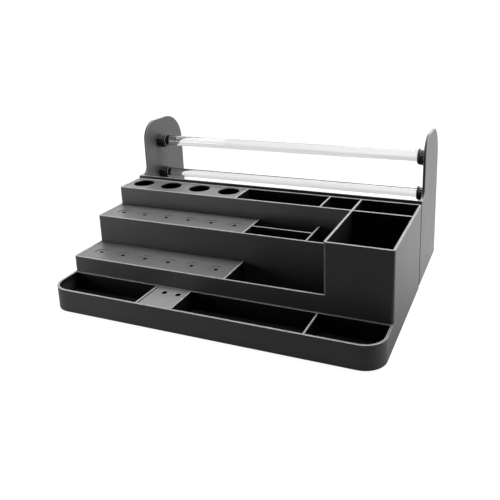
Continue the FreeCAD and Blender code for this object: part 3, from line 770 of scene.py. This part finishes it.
# %% A clear acrylic
CLEAR_TINT = (0.77, 0.78, 0.785)
STREAK_TINT = (0.62, 0.63, 0.64)
DRAWN_LINES_PER_METRE = 420.0
DRAWN_STRETCH = 0.01
ACRYLIC_ROUGHNESS = (0.02, 0.07)
ACRYLIC_BENDING = 1.49


def add_drawn_lines(tree):
    """Noise that hardly changes along the rod and quickly round it."""
    place = tree.nodes.new("ShaderNodeTexCoord")
    stretch = tree.nodes.new("ShaderNodeMapping")
    stretch.inputs["Scale"].default_value = (DRAWN_STRETCH, 1.0, 1.0)
    lines = tree.nodes.new("ShaderNodeTexNoise")
    lines.inputs["Scale"].default_value = DRAWN_LINES_PER_METRE
    tree.links.new(place.outputs["Object"], stretch.inputs["Vector"])
    tree.links.new(stretch.outputs["Vector"], lines.inputs["Vector"])
    return lines.outputs["Fac"]


def make_acrylic():
    """A clear solid with faint grey streaks, and a polish that isn't quite even."""
    material, tree, shader = new_material("clear_acrylic")
    cloud = use_group(tree, UNEVENNESS, clouds_per_metre=60.0).outputs["Cloud"]
    grain = use_group(tree, GRAIN, grains_per_metre=900.0)
    lines = add_range(tree, add_drawn_lines(tree), from_low=0.35, from_high=0.65)
    tint = add_mix(tree, lines, CLEAR_TINT, STREAK_TINT)
    tree.links.new(tint, shader.inputs["Base Color"])
    tree.links.new(add_range(tree, cloud, *ACRYLIC_ROUGHNESS), shader.inputs["Roughness"])
    shader.inputs["IOR"].default_value = ACRYLIC_BENDING
    shader.inputs["Transmission Weight"].default_value = 1.0
    add_bump(tree, shader, grain.outputs["Height"], depth=0.01 * MM, strength=0.1)
    return material


# %% Finish the rods
ROD_END_RADIUS = 0.6 * MM

acrylic = make_acrylic()
for rod in RODS:
    clear_rod = soften(copy_of(f"{rod}_rod", f"{rod}_clear_rod"), ROD_END_RADIUS)
    finish_piece(clear_rod, acrylic)

# %% [markdown]
# ## Rubber feet
# Six square rubber feet keep the plastic off the bench. Rubber is cut or moulded with soft
# edges and has hardly any shine, so its roughness is high and its grain coarse.

# %% Finish the feet
FOOT_RADIUS = 0.5 * MM

rubber = make_skin(
    "foot_rubber",
    dark=(0.018, 0.018, 0.018),
    pale=(0.032, 0.031, 0.030),
    rim=(0.07, 0.07, 0.068),
    matt=(0.75, 0.9),
    grains=1100.0,
    clouds=120.0,
    wear_and_highlight=0.4,
    depth=0.08 * MM,
    strength=0.5,
)
for place in ("front", "middle", "rear"):
    for side in SIDES:
        foot = soften(copy_of(f"{place}_{side}_foot", f"{place}_{side}_pad"), FOOT_RADIUS)
        finish_piece(foot, rubber)

# %% [markdown]
# ## Frame screws
# Four screws hold the frame to the body, driven backwards from inside the rear bins. The fixed
# part gives their round heads and plain shanks. A screw is read by its recess, so a cross is cut
# into each head: two crossed bars on every head are joined to one cutter, and the Boolean
# modifier takes that shape away in one go.

# %% Cut the cross recesses
SCREW_SIDE = 166.0 * MM
SCREW_HEIGHTS = (23.0 * MM, 82.2 * MM)
RECESS_LENGTH = 4.2 * MM
RECESS_WIDTH = 0.9 * MM
RECESS_DEPTH = 1.1 * MM


def make_recess_cutter(face):
    """Two crossed bars on each of the four heads, whose flat tops lie at face."""
    bars = []
    for x in (-SCREW_SIDE, SCREW_SIDE):
        for z in SCREW_HEIGHTS:
            for wide, tall in ((RECESS_LENGTH, RECESS_WIDTH), (RECESS_WIDTH, RECESS_LENGTH)):
                size = (wide, RECESS_DEPTH * 2, tall)
                bpy.ops.mesh.primitive_cube_add(size=1, location=(x, face, z), scale=size)
                bars.append(bpy.context.active_object)
    only(bars[0])
    for bar in bars:
        bar.select_set(True)
    bpy.ops.object.join()
    return bpy.context.active_object


def cut_recesses(piece):
    """Take the crosses out of the screw heads."""
    cutter = make_recess_cutter(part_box("frame_screws")[0].y)
    recess = piece.modifiers.new("cross recess", "BOOLEAN")
    recess.operation = "DIFFERENCE"
    recess.object = cutter
    recess.use_self = True
    only(piece)
    bpy.ops.object.modifier_apply(modifier=recess.name)
    bpy.data.objects.remove(cutter)
    bpy.ops.object.shade_smooth_by_angle(angle=SMOOTH_ANGLE)
    print("screw faces after the cut:", len(piece.data.polygons))


# %% A plated steel
STEEL_DARK = (0.30, 0.30, 0.31)
STEEL_PALE = (0.42, 0.42, 0.43)
STEEL_ROUGHNESS = (0.3, 0.45)


def make_screw_steel():
    """Plated steel: a metal with small clouds in its colour and polish."""
    material, tree, shader = new_material("screw_steel")
    grain = use_group(tree, GRAIN, grains_per_metre=2500.0)
    cloud = use_group(tree, UNEVENNESS, clouds_per_metre=200.0).outputs["Cloud"]
    tint = add_mix(tree, add_range(tree, cloud), STEEL_DARK, STEEL_PALE)
    tree.links.new(tint, shader.inputs["Base Color"])
    tree.links.new(add_range(tree, cloud, *STEEL_ROUGHNESS), shader.inputs["Roughness"])
    shader.inputs["Metallic"].default_value = 1.0
    add_bump(tree, shader, grain.outputs["Height"], depth=0.01 * MM, strength=0.3)
    return material


# %% Finish the screws
HEAD_RADIUS = 0.6 * MM
HEAD_SEGMENTS = 3

screws = soften(copy_of("frame_screws", "pan_head_screws"), HEAD_RADIUS, HEAD_SEGMENTS)
cut_recesses(screws)
finish_piece(screws, make_screw_steel())
